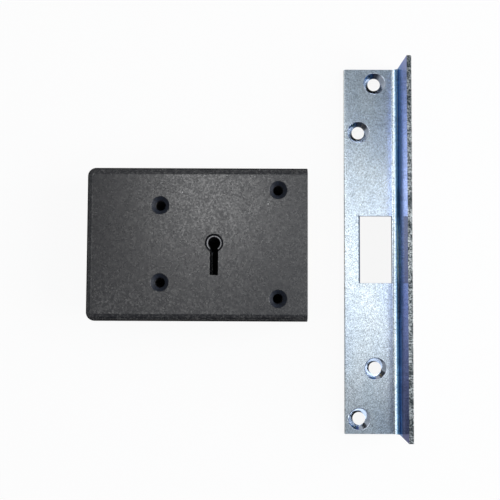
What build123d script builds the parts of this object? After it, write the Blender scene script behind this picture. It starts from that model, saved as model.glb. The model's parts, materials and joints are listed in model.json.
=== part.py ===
from build123d import *
from math import cos, radians, sin, sqrt, tan
import os

# Rim box lock with its angle strike, in millimetres. X runs the way the bolt is thrown, Y up the door,
# and Z out of the mounting face. The origin is the middle of the case's back.

os.makedirs("parts", exist_ok=True)

# Case
case_length = 115.0
case_height = 80.0
case_depth = 30.0
case_sheet = 2.5
case_bend_radius = 4.0  # outside of the folds
case_corner_radius = 4.5  # rear corners, seen from the front

# Back plate, folded up at the bolt end into the forend
back_sheet = 2.0
back_fold_radius = 0.5  # inside of the fold

# Clearances
running_clearance = 0.05  # a turning piece round its bearing
sliding_clearance = 0.2  # a sliding piece beside its guide
panel_clearance = 0.2  # the back plate inside the case
fixed_clearance = 0.02  # a fixed piece in its hole
overrun = 1.0  # how far a cut runs past the face that it opens

# Wood screw holes through the case: a rear pair and a front pair
rear_holes_margin = 20.0  # from the case's top and bottom
front_holes_margin = 11.8
front_holes_setback = 15.3  # from the case's bolt end
fixing_hole_radius = 2.6
fixing_sink_radius = 4.75
sink_angle = 90.0
fixing_tube_radius = 4.5

# Keyhole, barrel and curtain
key_bit_reach = 16.0  # from the key's axis to the tip that throws the bolt
keyhole_gap = 0.8  # round the barrel
keyhole_slot_width = 4.2
keyhole_slot_play = 0.5  # beyond the bit's tip
barrel_radius = 3.95
barrel_wall = 0.7
barrel_recess = 0.5  # the barrel's ends lie this far inside the lock's faces
barrel_foot_radius = 5.5
barrel_foot_height = 1.0
curtain_radius = 15.0
curtain_thickness = 2.0
curtain_hub_radius = 6.0
curtain_hub_height = 3.0
curtain_gap = 2.5  # between the curtain and the bolt

# Bolt
bolt_hold = 9.0  # what stays behind the forend with the bolt thrown
bolt_tube_gap = 6.2  # between the bolt and the front screws' tubes
bolt_thickness = 16.0
bolt_bottom = 4.0  # above the mounting face
bolt_chamfer = 0.8
tail_thickness = 3.0
tail_lap = 7.0  # how far the tail reaches under the bolt
tail_inset = 0.3  # the tail's foot inside the bolt's height
tail_shoulder_reach = 17.0  # from the stump to where the tail narrows
tail_top_rise = 8.0  # above the post
tail_low_wall = 2.31  # under the slot that guides the tail on the post
tail_rear_wall = 3.3
tail_rear_gap = 8.0  # between the case and the tail with the bolt drawn back
tail_corner_radius = 1.5
talon_play = 2.5
talon_depth_play = 0.5
stump_reach = 14.0  # from the post, with the bolt drawn back
stump_rise = 4.0  # above the post
stump_width = 5.0
stump_height = 4.4
stump_corner_radius = 0.6
tenon_radius = 1.5
rivet_radius = 1.5
rivet_sink_radius = 2.4
rivet_depth = 7.0  # into the bolt
rivet_spacing = 20.0

# Levers, lying as the right key holds them: each is turned up off its stop by its own angle, in degrees
lever_lifts = [4.7, 3.5, 5.5, 2.9, 4.1]
lever_thickness = 2.2
lever_hub_radius = 7.5
lever_end_wall = 6.0  # between the gate and the far end
lever_bolt_gap = 2.2  # between the far end and the bolt drawn back
lever_top = 11.0  # top edge above the post
lever_shoulder = 7.0  # from the post to where the top edge starts
lever_saddle_radius = 9.6  # round the key's axis, with the lever on its stop
lever_saddle_angle = 50.0  # to either side of upright
lever_horn_width = 2.6
lever_corner_radius = 0.8
gate_play = 0.3  # above and below the stump
pocket_play = 0.8  # to either side of the stump
washer_thickness = 0.5
washer_radius = 6.5
stop_inset = 1.8  # from the levers' far end
stop_drop = 5.0  # below the post
stop_radius = 1.5
stop_gap = 0.1

# Lever springs
spring_strip = 0.5
spring_width = 1.6
spring_foot = 3.0  # depth of the slit in the lever
spring_slit_x = 8.6  # from the post
spring_rise = 1.2
spring_bow_reach = 13.0
spring_tip_reach = 23.0
spring_tip_drop = 0.9
spring_wall_gap = 0.1

# Posts inside the case front, and the screws that hold the back plate to them
cap_post_radius = 3.2
cap_posts_margin = 8.0  # from the case's top and bottom
cap_posts_rear_margin = 8.5  # from the case's rear end
cap_post_gap = 1.5  # between the levers' far end and the front posts
cap_screw_radius = 1.9
cap_screw_head_radius = 3.6
cap_screw_length = 12.0
cap_screw_slot_width = 0.9
cap_screw_slot_depth = 0.7
cap_thread_run_out = 2.0

# Strike
strike_length = 202.0
strike_width = 32.2
strike_height = 28.5
strike_sheet = 2.5
strike_bend_radius = 2.8  # inside of the fold
strike_corner_radius = 0.8
strike_gap = 2.3  # between the thrown bolt's end and the plate leg's free edge
strike_y = -1.0
strike_hole_radius = 3.5
strike_sink_radius = 5.9
strike_outer_column = 8.0  # from the plate leg's free edge
strike_inner_column = 15.2  # from the flange's outside
strike_near_margin = 8.0  # end of the strike to the nearer hole of a column
strike_far_margin = 35.5  # other end of the strike to the column's other hole
opening_bend_gap = 0.5  # between the opening and the start of the fold
opening_side_play = 0.8  # to either side of the bolt
opening_end_play = 1.1  # above and below the bolt
opening_roll_radius = 1.0  # drawn-in edge on the side away from the flange

# Inside of the case
case_right = case_length / 2
case_inner_left = case_sheet - case_length / 2
case_inner_top = case_height / 2 - case_sheet
case_inner_front = case_depth - case_sheet
forend_inner = case_right - back_sheet

# Throw: the case's length has room for it three times, in the tail's slot, the gates and the bolt
guide_radius = fixing_tube_radius + sliding_clearance
post_rear_limit = case_inner_left + tail_rear_gap + tail_rear_wall + guide_radius
gate_end_reach = stump_reach + stump_width / 2 + pocket_play + lever_end_wall
post_front_limit = forend_inner - bolt_hold - lever_bolt_gap - gate_end_reach
bolt_throw = (post_front_limit - post_rear_limit) / 3
post_x = post_rear_limit + bolt_throw
post_y = case_height / 2 - rear_holes_margin

# Fixing holes
front_holes_y = case_height / 2 - front_holes_margin
rear_places = [(post_x, side * post_y) for side in (1, -1)]
front_places = [(case_right - front_holes_setback, side * front_holes_y) for side in (1, -1)]
tube_places = [rear_places[1]] + front_places

# Bolt and tail
bolt_length = bolt_throw + bolt_hold + back_sheet
bolt_height = 2 * (front_holes_y - fixing_tube_radius - bolt_tube_gap)
bolt_rear = case_right - bolt_length
tail_bottom = back_sheet
tail_top = tail_bottom + tail_thickness
stump_x = post_x + stump_reach
stump_y = post_y + stump_rise

# The tail's lower edge is where the key's tip meets and leaves the talon
tail_low_y = post_y - guide_radius - tail_low_wall
key_x = bolt_rear - curtain_gap - curtain_radius
key_y = tail_low_y - sqrt(key_bit_reach**2 - (bolt_throw / 2) ** 2)
keyhole_radius = barrel_radius + keyhole_gap
keyhole_slot_reach = key_bit_reach + keyhole_slot_play

# Lever pack
lever_reach = gate_end_reach + bolt_throw
lever_pitch = lever_thickness + washer_thickness
pack_bottom = tail_top + sliding_clearance
pack_top = pack_bottom + washer_thickness + len(lever_lifts) * lever_pitch


def sink_depth(sink_radius, hole_radius):
    return (sink_radius - hole_radius) / tan(radians(sink_angle / 2))


# Case: one sheet folded back along three sides, open at the bolt end and at the back
with BuildPart() as case_shell:
    with BuildSketch() as case_outline:
        Rectangle(case_length, case_height)
        fillet(case_outline.vertices().sort_by(Axis.X)[:2], radius=case_corner_radius)
    extrude(amount=case_depth)
    front_face = case_shell.faces().sort_by(Axis.Z)[-1]
    fillet(front_face.edges().sort_by(Axis.X)[:-1], radius=case_bend_radius)
    open_sides = [case_shell.faces().sort_by(Axis.Z)[0], case_shell.faces().sort_by(Axis.X)[-1]]
    offset(amount=-case_sheet, openings=open_sides, kind=Kind.INTERSECTION)
    with Locations(*[(x, y, case_depth) for x, y in rear_places + front_places]):
        CounterSinkHole(fixing_hole_radius, fixing_sink_radius, case_sheet + overrun, sink_angle)
    with BuildSketch(Plane.XY.offset(case_inner_front)):
        with Locations((key_x, key_y)):
            Circle(keyhole_radius)
            Rectangle(keyhole_slot_width, keyhole_slot_reach, align=(Align.CENTER, Align.MAX))
    extrude(amount=case_sheet + overrun, mode=Mode.SUBTRACT)

case_shell.part.label = "case_shell"
export_step(case_shell.part, "parts/case_shell.step")

# Posts fixed inside the case front, threaded from the back, and their screws
cap_rear_x = cap_posts_rear_margin - case_length / 2
cap_front_x = post_x + lever_reach + cap_post_gap + cap_post_radius
cap_y = case_height / 2 - cap_posts_margin
cap_places = [(x, side * cap_y) for x in (cap_rear_x, cap_front_x) for side in (-1, 1)]
with BuildPart() as cap_posts:
    with BuildSketch(Plane.XY.offset(back_sheet)):
        with Locations(*cap_places):
            Circle(cap_post_radius)
    extrude(amount=case_inner_front - back_sheet)
    with BuildSketch(Plane.XY.offset(back_sheet)):
        with Locations(*cap_places):
            Circle(cap_screw_radius + fixed_clearance)
    extrude(amount=cap_screw_length - back_sheet + cap_thread_run_out, mode=Mode.SUBTRACT)

cap_posts.part.label = "cap_posts"
export_step(cap_posts.part, "parts/cap_posts.step")

cap_sink_depth = sink_depth(cap_screw_head_radius, cap_screw_radius)
with BuildPart() as cap_screws:
    with Locations(*[(x, y, 0) for x, y in cap_places]):
        upward = (Align.CENTER, Align.CENTER, Align.MIN)
        Cone(cap_screw_head_radius, cap_screw_radius, cap_sink_depth, align=upward)
        Cylinder(cap_screw_radius, cap_screw_length, align=upward)
        slot_size = (2 * cap_screw_head_radius, cap_screw_slot_width, cap_screw_slot_depth)
        Box(*slot_size, align=upward, mode=Mode.SUBTRACT)

cap_screws.part.label = "cap_screws"
export_step(cap_screws.part, "parts/cap_screws.step")

# Back plate and forend in one folded sheet
back_left = case_inner_left + panel_clearance
back_height = 2 * (case_inner_top - panel_clearance)
with BuildPart() as back_plate:
    with BuildSketch(Plane.XZ) as back_section:
        with BuildLine():
            floor_z = back_sheet / 2
            forend_x = case_right - back_sheet / 2
            forend_top = case_inner_front - panel_clearance
            corners = [(back_left, floor_z), (forend_x, floor_z), (forend_x, forend_top)]
            FilletPolyline(*corners, radius=back_fold_radius + back_sheet / 2)
        trace(line_width=back_sheet)
    extrude(amount=back_height / 2, both=True)
    rear_corners = back_plate.edges().filter_by(Axis.Z).sort_by(Axis.X)[:2]
    fillet(rear_corners, radius=case_corner_radius - case_sheet)
    forend_corners = back_plate.edges().filter_by(Axis.X).sort_by(Axis.Z)[-2:]
    fillet(forend_corners, radius=case_bend_radius - case_sheet)
    with BuildSketch():
        with Locations(*(rear_places + front_places)):
            Circle(fixing_hole_radius)
        with Locations((key_x, key_y)):
            Circle(barrel_radius + running_clearance)
            Rectangle(keyhole_slot_width, keyhole_slot_reach, align=(Align.CENTER, Align.MAX))
    extrude(amount=back_sheet, mode=Mode.SUBTRACT)
    with Locations(*[Plane(origin=(x, y, 0), z_dir=(0, 0, -1)) for x, y in cap_places]):
        screw_hole = cap_screw_radius + panel_clearance
        screw_sink = cap_screw_head_radius + fixed_clearance
        CounterSinkHole(screw_hole, screw_sink, back_sheet, sink_angle)
    with BuildSketch(Plane.YZ.offset(forend_inner - overrun)):
        with Locations((0, bolt_bottom + bolt_thickness / 2)):
            Rectangle(bolt_height + 2 * sliding_clearance, bolt_thickness + 2 * sliding_clearance)
    extrude(amount=back_sheet + 2 * overrun, mode=Mode.SUBTRACT)

back_plate.part.label = "back_plate"
export_step(back_plate.part, "parts/back_plate.step")


# Distance tubes round the wood screws, and the one that the levers turn on
for name, places in {"fixing_tubes": tube_places, "lever_post": rear_places[:1]}.items():
    with BuildPart() as tube:
        with BuildSketch(Plane.XY.offset(back_sheet)):
            with Locations(*places):
                Circle(fixing_tube_radius)
                Circle(fixing_hole_radius, mode=Mode.SUBTRACT)
        extrude(amount=case_inner_front - back_sheet)
    tube.part.label = name
    export_step(tube.part, f"parts/{name}.step")

# Washers between the levers, and the collar that keeps the pack down
with BuildPart() as lever_washers:
    for level in range(len(lever_lifts) + 1):
        with BuildSketch(Plane.XY.offset(pack_bottom + level * lever_pitch)):
            with Locations((post_x, post_y)):
                Circle(washer_radius)
                Circle(fixing_tube_radius + running_clearance, mode=Mode.SUBTRACT)
        extrude(amount=washer_thickness)

lever_washers.part.label = "lever_washers"
export_step(lever_washers.part, "parts/lever_washers.step")

with BuildPart() as lever_collar:
    with BuildSketch(Plane.XY.offset(pack_top)):
        with Locations((post_x, post_y)):
            Circle(washer_radius)
            Circle(fixing_tube_radius + running_clearance, mode=Mode.SUBTRACT)
    extrude(amount=case_inner_front - pack_top)

lever_collar.part.label = "lever_collar"
export_step(lever_collar.part, "parts/lever_collar.step")

with BuildPart() as lever_stop:
    with BuildSketch(Plane.XY.offset(pack_bottom)):
        with Locations((post_x + lever_reach - stop_inset, post_y - stop_drop)):
            Circle(stop_radius)
    extrude(amount=case_inner_front - pack_bottom)

lever_stop.part.label = "lever_stop"
export_step(lever_stop.part, "parts/lever_stop.step")

# Bolt, tail and stump, drawn back
with BuildPart() as bolt_head:
    with BuildSketch(Plane.XY.offset(bolt_bottom)):
        with Locations((bolt_rear, 0)):
            Rectangle(bolt_length, bolt_height, align=(Align.MIN, Align.CENTER))
    extrude(amount=bolt_thickness)
    chamfer(bolt_head.faces().sort_by(Axis.X)[-1].edges(), length=bolt_chamfer)
    with BuildSketch(Plane.XY.offset(tail_top)):
        with Locations((bolt_rear, 0)):
            lap = tail_lap + sliding_clearance
            Rectangle(lap, bolt_height, align=(Align.MIN, Align.CENTER))
    extrude(amount=bolt_bottom - tail_top, mode=Mode.SUBTRACT)
    with BuildSketch(Plane.XY.offset(tail_top)):
        with Locations((bolt_rear + tail_lap / 2, 0)):
            with GridLocations(0, rivet_spacing, 1, 2):
                Circle(rivet_radius + fixed_clearance)
    extrude(amount=rivet_depth, mode=Mode.SUBTRACT)

bolt_head.part.label = "bolt_head"
export_step(bolt_head.part, "parts/bolt_head.step")

tail_left = case_inner_left + tail_rear_gap
tail_top_y = post_y + tail_top_rise
tail_foot = bolt_rear + tail_lap
tail_side = bolt_height / 2 - tail_inset
tail_shoulder = stump_x + tail_shoulder_reach
with BuildPart() as bolt_tail:
    with BuildSketch(Plane.XY.offset(tail_bottom)):
        with BuildLine():
            Polyline(
                (tail_left, tail_low_y),
                (bolt_rear, tail_low_y),
                (bolt_rear, -tail_side),
                (tail_foot, -tail_side),
                (tail_foot, tail_side),
                (tail_shoulder, tail_side),
                (tail_shoulder, tail_top_y),
                (tail_left, tail_top_y),
                close=True,
            )
        tail_face = make_face()
        fillet(tail_face.vertices().sort_by(Axis.X)[:2], radius=tail_corner_radius)
        with Locations((post_x - bolt_throw / 2, post_y)):
            SlotOverall(bolt_throw + 2 * guide_radius, 2 * guide_radius, mode=Mode.SUBTRACT)
        with Locations((key_x - bolt_throw / 2, key_y)):
            talon_width = keyhole_slot_width + talon_play
            talon_top = key_bit_reach + talon_depth_play
            Rectangle(talon_width, talon_top, align=(Align.CENTER, Align.MIN), mode=Mode.SUBTRACT)
        with Locations((stump_x, stump_y)):
            Circle(tenon_radius + fixed_clearance, mode=Mode.SUBTRACT)
    extrude(amount=tail_thickness)
    rivet_places = [(bolt_rear + tail_lap / 2, side * rivet_spacing / 2) for side in (1, -1)]
    with Locations(*[Plane(origin=(x, y, tail_bottom), z_dir=(0, 0, -1)) for x, y in rivet_places]):
        rivet_hole = rivet_radius + fixed_clearance
        CounterSinkHole(rivet_hole, rivet_sink_radius, tail_thickness, sink_angle)

bolt_tail.part.label = "bolt_tail"
export_step(bolt_tail.part, "parts/bolt_tail.step")

with BuildPart() as bolt_rivets:
    with Locations(*[(x, y, tail_bottom) for x, y in rivet_places]):
        head_radius = rivet_sink_radius - fixed_clearance
        Cone(head_radius, rivet_radius, sink_depth(head_radius, rivet_radius), align=upward)
        Cylinder(rivet_radius, tail_thickness + rivet_depth, align=upward)

bolt_rivets.part.label = "bolt_rivets"
export_step(bolt_rivets.part, "parts/bolt_rivets.step")

with BuildPart() as bolt_stump:
    with BuildSketch(Plane.XY.offset(tail_top)):
        with Locations((stump_x, stump_y)):
            RectangleRounded(stump_width, stump_height, stump_corner_radius)
    extrude(amount=pack_top - tail_top)
    with BuildSketch(Plane.XY.offset(tail_bottom)):
        with Locations((stump_x, stump_y)):
            Circle(tenon_radius)
    extrude(amount=tail_thickness)

bolt_stump.part.label = "bolt_stump"
export_step(bolt_stump.part, "parts/bolt_stump.step")

# Levers. The outline is drawn on the stop and turned up; gate and pockets lie level on the stump
saddle_x = key_x - post_x
saddle_y = key_y - post_y
saddle_half_width = lever_saddle_radius * sin(radians(lever_saddle_angle))
saddle_end_y = saddle_y + lever_saddle_radius * cos(radians(lever_saddle_angle))
horn_reach = saddle_half_width + lever_horn_width
lever_foot_y = stop_radius + stop_gap - stop_drop
gate_bottom = stump_y - stump_height / 2 - gate_play
gate_top = stump_y + stump_height / 2 + gate_play
pocket_width = stump_width + 2 * pocket_play

for number, lift in enumerate(lever_lifts, start=1):
    lever_bottom = pack_bottom + washer_thickness + (number - 1) * lever_pitch
    turn = Vector(cos(radians(lift)), sin(radians(lift)), 0)
    turned = Plane(origin=(post_x, post_y, lever_bottom), x_dir=turn, z_dir=(0, 0, 1))
    with BuildPart() as lever:
        with BuildSketch(turned):
            with BuildLine():
                Polyline(
                    (saddle_x + saddle_half_width, saddle_end_y),
                    (saddle_x + horn_reach, saddle_end_y),
                    (saddle_x + horn_reach, lever_foot_y),
                    (lever_reach, lever_foot_y),
                    (lever_reach, lever_top),
                    (lever_shoulder, lever_top),
                    (0, lever_hub_radius),
                    (0, -lever_hub_radius),
                    (saddle_x - horn_reach, saddle_end_y),
                    (saddle_x - saddle_half_width, saddle_end_y),
                )
                ThreePointArc(
                    (saddle_x - saddle_half_width, saddle_end_y),
                    (saddle_x, saddle_y + lever_saddle_radius),
                    (saddle_x + saddle_half_width, saddle_end_y),
                )
            lever_face = make_face()
            fillet(lever_face.vertices().sort_by(Axis.X)[-2:], radius=lever_corner_radius)
            Circle(lever_hub_radius)
            Circle(fixing_tube_radius + running_clearance, mode=Mode.SUBTRACT)
            with Locations((spring_slit_x, lever_top - spring_foot)):
                slit_width = spring_strip + 2 * running_clearance
                slit_height = spring_foot + overrun
                slit_place = (Align.CENTER, Align.MIN)
                Rectangle(slit_width, slit_height, align=slit_place, mode=Mode.SUBTRACT)
        extrude(amount=lever_thickness)
        with BuildSketch(Plane.XY.offset(lever_bottom)):
            with Locations((stump_x - pocket_width / 2, gate_bottom)):
                window_width = bolt_throw + pocket_width
                window_height = gate_top - gate_bottom
                Rectangle(window_width, window_height, align=(Align.MIN, Align.MIN))
            for pocket_x in (stump_x, stump_x + bolt_throw):
                rise = (pocket_x + pocket_width / 2 - post_x) * tan(radians(lift))
                with Locations((pocket_x, gate_bottom)):
                    pocket_height = window_height + rise
                    Rectangle(pocket_width, pocket_height, align=(Align.CENTER, Align.MIN))
        extrude(amount=lever_thickness, mode=Mode.SUBTRACT)
    lever.part.label = f"lever_{number}"
    export_step(lever.part, f"parts/lever_{number}.step")

    # Leaf spring: a foot in the lever's slit, then a bow up under the case's top wall
    foot_end = turned.from_local_coords((spring_slit_x, lever_top - spring_foot, 0))
    knee = turned.from_local_coords((spring_slit_x, lever_top + spring_rise, 0))
    bow_y = case_inner_top - spring_wall_gap - spring_strip / 2
    bow_x = post_x + spring_slit_x + spring_bow_reach
    tip_x = post_x + spring_slit_x + spring_tip_reach
    spring_bottom = lever_bottom + (lever_thickness - spring_width) / 2
    with BuildPart() as lever_spring:
        with BuildSketch(Plane.XY.offset(spring_bottom)):
            with BuildLine() as spring_line:
                Line((foot_end.X, foot_end.Y), (knee.X, knee.Y))
                ThreePointArc((knee.X, knee.Y), (bow_x, bow_y), (tip_x, bow_y - spring_tip_drop))
            trace(line_width=spring_strip)
            with Locations((knee.X, knee.Y)):
                Circle(spring_strip / 2)
        extrude(amount=spring_width)
    lever_spring.part.label = f"lever_spring_{number}"
    export_step(lever_spring.part, f"parts/lever_spring_{number}.step")

# Barrel: a split tube with a foot, and the curtain disc fixed on it
with BuildPart() as key_barrel:
    with BuildSketch(Plane.XY.offset(barrel_recess)):
        with Locations((key_x, key_y)):
            Circle(barrel_radius)
    extrude(amount=case_depth - 2 * barrel_recess)
    with BuildSketch(Plane.XY.offset(back_sheet + running_clearance)):
        with Locations((key_x, key_y)):
            Circle(barrel_foot_radius)
    extrude(amount=barrel_foot_height)
    with BuildSketch():
        with Locations((key_x, key_y)):
            Circle(barrel_radius - barrel_wall)
            Rectangle(keyhole_slot_width, curtain_radius, align=(Align.CENTER, Align.MAX))
    extrude(amount=case_depth, mode=Mode.SUBTRACT)

key_barrel.part.label = "key_barrel"
export_step(key_barrel.part, "parts/key_barrel.step")

curtain_bottom = case_inner_front - sliding_clearance - curtain_thickness
with BuildPart() as curtain_disc:
    with BuildSketch(Plane.XY.offset(curtain_bottom)):
        with Locations((key_x, key_y)):
            Circle(curtain_radius)
    extrude(amount=curtain_thickness)
    with BuildSketch(Plane.XY.offset(curtain_bottom)):
        with Locations((key_x, key_y)):
            Circle(curtain_hub_radius)
    extrude(amount=-curtain_hub_height)
    with BuildSketch():
        with Locations((key_x, key_y)):
            Circle(barrel_radius + fixed_clearance)
            Rectangle(keyhole_slot_width, keyhole_slot_reach, align=(Align.CENTER, Align.MAX))
    extrude(amount=case_depth, mode=Mode.SUBTRACT)

curtain_disc.part.label = "curtain_disc"
export_step(curtain_disc.part, "parts/curtain_disc.step")

# Strike: an angle folded from one sheet, with its plate leg flat and its flange standing up
strike_edge_x = case_right + bolt_throw + strike_gap
flange_back_x = strike_edge_x + strike_width
outer_column = strike_edge_x + strike_outer_column
inner_column = flange_back_x - strike_inner_column
near_y = strike_length / 2 - strike_near_margin
far_y = strike_length / 2 - strike_far_margin
strike_places = [
    (inner_column, strike_y + near_y),
    (outer_column, strike_y + far_y),
    (inner_column, strike_y - far_y),
    (outer_column, strike_y - near_y),
]
opening_width = bolt_thickness + 2 * opening_side_play
opening_length = bolt_height + 2 * opening_end_play
fold_start_x = flange_back_x - strike_sheet - strike_bend_radius
opening_left = fold_start_x - opening_bend_gap - opening_width
with BuildPart() as strike_plate:
    with BuildSketch(Plane.XZ.offset(-strike_y)):
        with BuildLine():
            leg_z = strike_sheet / 2
            flange_x = flange_back_x - strike_sheet / 2
            FilletPolyline(
                (strike_edge_x, leg_z),
                (flange_x, leg_z),
                (flange_x, strike_height),
                radius=strike_bend_radius + strike_sheet / 2,
            )
        trace(line_width=strike_sheet)
    extrude(amount=strike_length / 2, both=True)
    free_corners = strike_plate.edges().filter_by(Axis.Z).sort_by(Axis.X)[:2]
    fillet(free_corners, radius=strike_corner_radius)
    with BuildSketch():
        with Locations((opening_left, strike_y)):
            Rectangle(opening_width, opening_length, align=(Align.MIN, Align.CENTER))
    extrude(amount=strike_sheet, mode=Mode.SUBTRACT)
    rolled_edge = strike_plate.edges().sort_by_distance((opening_left, strike_y, strike_sheet))[0]
    fillet(rolled_edge, radius=opening_roll_radius)
    with Locations(*[(x, y, strike_sheet) for x, y in strike_places]):
        CounterSinkHole(strike_hole_radius, strike_sink_radius, strike_sheet, sink_angle)

strike_plate.part.label = "strike_plate"
export_step(strike_plate.part, "parts/strike_plate.step")
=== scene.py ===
import json
import math
import bmesh
import bpy
from mathutils import Matrix, Vector


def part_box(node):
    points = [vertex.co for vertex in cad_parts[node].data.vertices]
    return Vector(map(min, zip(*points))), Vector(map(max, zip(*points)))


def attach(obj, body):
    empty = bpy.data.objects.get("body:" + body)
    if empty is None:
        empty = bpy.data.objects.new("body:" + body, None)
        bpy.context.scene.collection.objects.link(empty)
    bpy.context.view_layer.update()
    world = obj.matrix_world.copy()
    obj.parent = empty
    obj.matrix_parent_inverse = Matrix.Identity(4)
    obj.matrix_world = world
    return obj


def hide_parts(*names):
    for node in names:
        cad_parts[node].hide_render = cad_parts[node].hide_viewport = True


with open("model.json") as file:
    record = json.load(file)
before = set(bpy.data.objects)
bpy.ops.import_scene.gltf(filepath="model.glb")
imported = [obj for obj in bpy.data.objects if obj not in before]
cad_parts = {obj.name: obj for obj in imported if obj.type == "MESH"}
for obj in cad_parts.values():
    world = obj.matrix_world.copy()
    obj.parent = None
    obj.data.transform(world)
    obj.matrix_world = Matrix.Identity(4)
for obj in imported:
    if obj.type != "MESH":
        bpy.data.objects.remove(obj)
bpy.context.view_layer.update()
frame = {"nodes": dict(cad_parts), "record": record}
mm = 0.001
mergeDistance = 0.0005 * mm
hair = 0.01 * mm  # margin where two faces lie, or would lie, in one plane
flatAngle = math.radians(0.4)  # faces that meet flatter than this are joined
roundAngle = math.radians(32)  # edges sharper than this are rounded
sharpAngle = math.radians(30)  # edges sharper than this stay sharp in the shading
stainSize = 6 * mm
ringFacets = 56


def addNode(tree, kind, inputs=None, **settings):
    node = tree.nodes.new(kind)
    for name, value in settings.items():
        setattr(node, name, value)
    for name, value in (inputs or {}).items():
        node.inputs[name].default_value = value
    return node


def ramp(tree, source, stops):
    node = tree.nodes.new("ShaderNodeValToRGB")
    elements = node.color_ramp.elements
    while len(elements) < len(stops):
        elements.new(0.5)
    for element, (place, colour) in zip(elements, stops):
        element.position = place
        element.color = (*colour, 1)
    tree.links.new(source, node.inputs["Fac"])
    return node.outputs["Color"]


def grey(value):
    return (value, value, value)


def fade(tree, source, places, values):
    # grey that goes from one value to the other between two places
    return ramp(tree, source, [(place, grey(value)) for place, value in zip(places, values)])


def mathNode(tree, operation, first, second=None, clamp=False):
    node = addNode(tree, "ShaderNodeMath", operation=operation, use_clamp=clamp)
    for socket, value in zip(node.inputs, (first, second)):
        if value is None:
            continue
        if isinstance(value, (int, float)):
            socket.default_value = value
        else:
            tree.links.new(value, socket)
    return node.outputs[0]


def product(tree, first, *others):
    for other in others:
        first = mathNode(tree, "MULTIPLY", first, other)
    return first


def blended(tree, first, second, share):
    return mathNode(tree, "ADD", product(tree, first, share), product(tree, second, 1 - share))


def mixColour(tree, factor, first, second, blend="MIX"):
    node = addNode(tree, "ShaderNodeMix", data_type="RGBA", blend_type=blend)
    for socket, value in ((node.inputs[0], factor), (node.inputs[6], first), (node.inputs[7], second)):
        if isinstance(value, (int, float)):
            socket.default_value = value
        elif isinstance(value, tuple):
            socket.default_value = (*value, 1)
        else:
            tree.links.new(value, socket)
    return node.outputs[2]


def tinted(tree, colour, tint, strength=1.0):
    return mixColour(tree, strength, colour, tint, "MULTIPLY")


def objectPlace(tree):
    place = addNode(tree, "ShaderNodeTexCoord")
    return place.outputs["Object"]


def objectPattern(tree, kind, size, stretch, inputs):
    # size is the width of one grain, in metres
    mapping = addNode(tree, "ShaderNodeMapping", {"Scale": [1 / (size * s) for s in stretch]})
    tree.links.new(objectPlace(tree), mapping.inputs["Vector"])
    node = addNode(tree, kind, {"Scale": 1.0, **inputs})
    tree.links.new(mapping.outputs["Vector"], node.inputs["Vector"])
    return node


def noise(tree, size, detail=2.0, roughness=0.5, stretch=(1, 1, 1)):
    inputs = {"Detail": detail, "Roughness": roughness}
    return objectPattern(tree, "ShaderNodeTexNoise", size, stretch, inputs).outputs[0]


def cells(tree, size, output):
    return objectPattern(tree, "ShaderNodeTexVoronoi", size, (1, 1, 1), {}).outputs[output]


def bumpFrom(tree, height, distance, strength=1.0, normal=None):
    node = addNode(tree, "ShaderNodeBump", {"Strength": strength, "Distance": distance})
    tree.links.new(height, node.inputs["Height"])
    if normal:
        tree.links.new(normal, node.inputs["Normal"])
    return node.outputs["Normal"]


def newMaterial(name, shaderValues):
    material = bpy.data.materials.new(name)
    material.use_nodes = True
    tree = material.node_tree
    shader = tree.nodes["Principled BSDF"]
    for socket, value in shaderValues.items():
        shader.inputs[socket].default_value = value
    return material, tree, shader


coating = {
    "colour": (0.008, 0.008, 0.010),
    "cloudLift": 1.25,
    "paleColour": (0.082, 0.081, 0.080),
    "paleFrom": (0.45, 0.95),  # brightness of the random cells that make the specks
    "nibColour": (0.6, 0.6, 0.6),
    "roughness": (0.19, 0.34),
    "grain": 0.60 * mm,
    "grainDepth": 0.025 * mm,
    "orangePeel": 2.6 * mm,
    "peelDepth": 0.02 * mm,
    "cloud": 30 * mm,
    "nibSpacing": 11 * mm,
    "nibRadius": 0.30 * mm,
}


def makeCoating(settings):
    # satin powder coat: pale specks in a fine grain, on a slow orange peel, with a few nibs
    shine = {"Specular IOR Level": 0.6, "IOR": 1.5, "Metallic": 0.0}
    material, tree, shader = newMaterial("satinBlackCoating", shine)
    link = tree.links.new
    grain = noise(tree, settings["grain"], 3.0, 0.7)
    specks = cells(tree, settings["grain"], "Color")
    peel = noise(tree, settings["orangePeel"])
    cloud = noise(tree, settings["cloud"], 3.0, 0.6)
    lifted = tuple(part * settings["cloudLift"] for part in settings["colour"])
    clouded = mixColour(tree, cloud, settings["colour"], lifted)
    pale = fade(tree, specks, settings["paleFrom"], (0, 1))
    grained = mixColour(tree, pale, clouded, settings["paleColour"])
    nibs = cells(tree, settings["nibSpacing"], "Distance")
    nibEdge = settings["nibRadius"] / settings["nibSpacing"]
    onNib = fade(tree, nibs, (0.7 * nibEdge, nibEdge), (1, 0))
    link(mixColour(tree, onNib, grained, settings["nibColour"]), shader.inputs["Base Color"])
    low, high = settings["roughness"]
    link(fade(tree, specks, (0.10, 0.90), (high, low)), shader.inputs["Roughness"])
    fine = bumpFrom(tree, grain, settings["grainDepth"], 0.6)
    link(bumpFrom(tree, peel, settings["peelDepth"], 0.35, fine), shader.inputs["Normal"])
    return material


mattCoating = {
    "colours": [(0.40, (0.004, 0.006, 0.012)), (0.66, (0.016, 0.022, 0.038))],
    "roughness": (0.50, 0.70),
    "grain": 0.8 * mm,
    "grainDepth": 0.05 * mm,
}


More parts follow.
